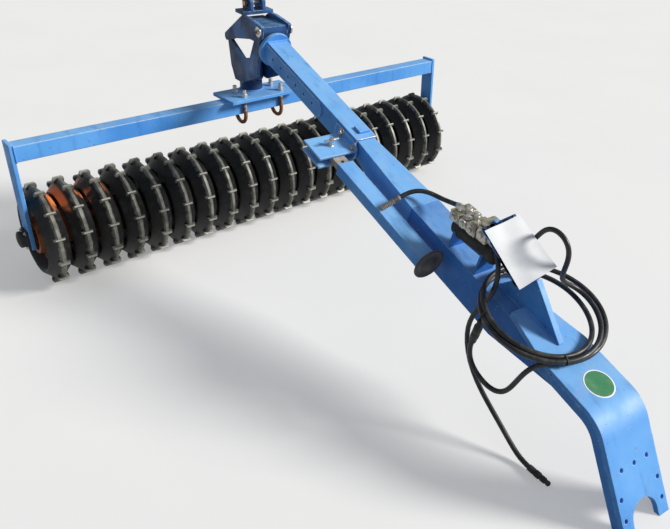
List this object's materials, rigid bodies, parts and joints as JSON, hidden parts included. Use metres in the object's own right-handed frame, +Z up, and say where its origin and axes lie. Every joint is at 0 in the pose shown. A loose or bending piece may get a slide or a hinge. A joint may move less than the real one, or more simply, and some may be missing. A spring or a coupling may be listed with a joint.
{
  "type": "ring packer with drop arm",
  "caption": "Soil packer: lugged cast rings on a tube under a beam, swivelling behind a sloping arm with a curved bolt-on hitch plate, hoses and a stowed parking leg.",
  "frame": {"origin": "on the ground under the middle of the machine's box", "axes": "X along the beam, -Y ahead to the hitch plate, Z up"},
  "size_m": [3.181, 3.6116, 1.491],
  "materials": {
    "blue_paint": "sun-bleached gloss paint with rubbed edges",
    "cast_black": "black painted casting, lugs worn bright",
    "rusty_steel": "rusted bare steel",
    "bare_steel": "zinc plated steel",
    "black_parts": "satin black",
    "black_rubber": "dusty hose rubber"
  },
  "bodies": {
    "arm": {"arm_flange": "blue_paint", "arm_rear": "blue_paint", "arm_side_plates": "blue_paint", "arm_front": "blue_paint", "front_box": "blue_paint", "hitch_plate": "blue_paint", "hitch_walls": "blue_paint", "gusset": "blue_paint", "lug_bracket": "blue_paint", "lug_pin": "bare_steel", "accumulator": "black_parts", "acc_saddle": "blue_paint", "valve_block": "bare_steel", "hose_fitting": "rusty_steel", "hose_feed": "black_rubber", "hose_top": "black_rubber", "hose_hang": "black_rubber", "hose_short": "black_rubber", "hose_coil": "black_rubber", "couplings": "black_parts"},
    "roller": {"rings": "cast_black", "roller_tube": "rusty_steel"},
    "press_frame": {"beam": "blue_paint", "end_plates": "blue_paint", "bearings": "black_parts", "clamp_plate": "blue_paint", "u_bolts": "bare_steel", "king_post": "blue_paint"},
    "yoke": {"yoke_body": "blue_paint", "yoke_cheeks": "blue_paint", "yoke_clevis": "blue_paint", "clevis_pin": "bare_steel", "head_pin": "bare_steel"},
    "stand": {"stand_tongue": "rusty_steel", "stand_leg": "blue_paint", "stand_foot": "black_parts"}
  },
  "joints": [
    {"name": "arm_roll", "type": "hinge", "parent": "arm", "child": "yoke", "pos_m": [-0.02173, 1.32589, 1.23924], "axis": [-0.0833, -0.9527, -0.2924], "range_deg": [-10, 10]},
    {"name": "press_swivel", "type": "hinge", "parent": "yoke", "child": "press_frame", "pos_m": [0, 1.57431, 0.94], "axis": [0, 0, 1], "range_deg": [-35, 25]},
    {"name": "roller_spin", "type": "hinge", "parent": "press_frame", "child": "roller", "pos_m": [0, 1.51431, 0.29151], "axis": [1, 0, 0], "continuous": true},
    {"name": "stand_swing", "type": "hinge", "parent": "arm", "child": "stand", "pos_m": [-0.27988, 0.34873, 0.90547], "axis": [0.0255, 0.2913, -0.9563], "range_deg": [0, 80]}
  ]
}
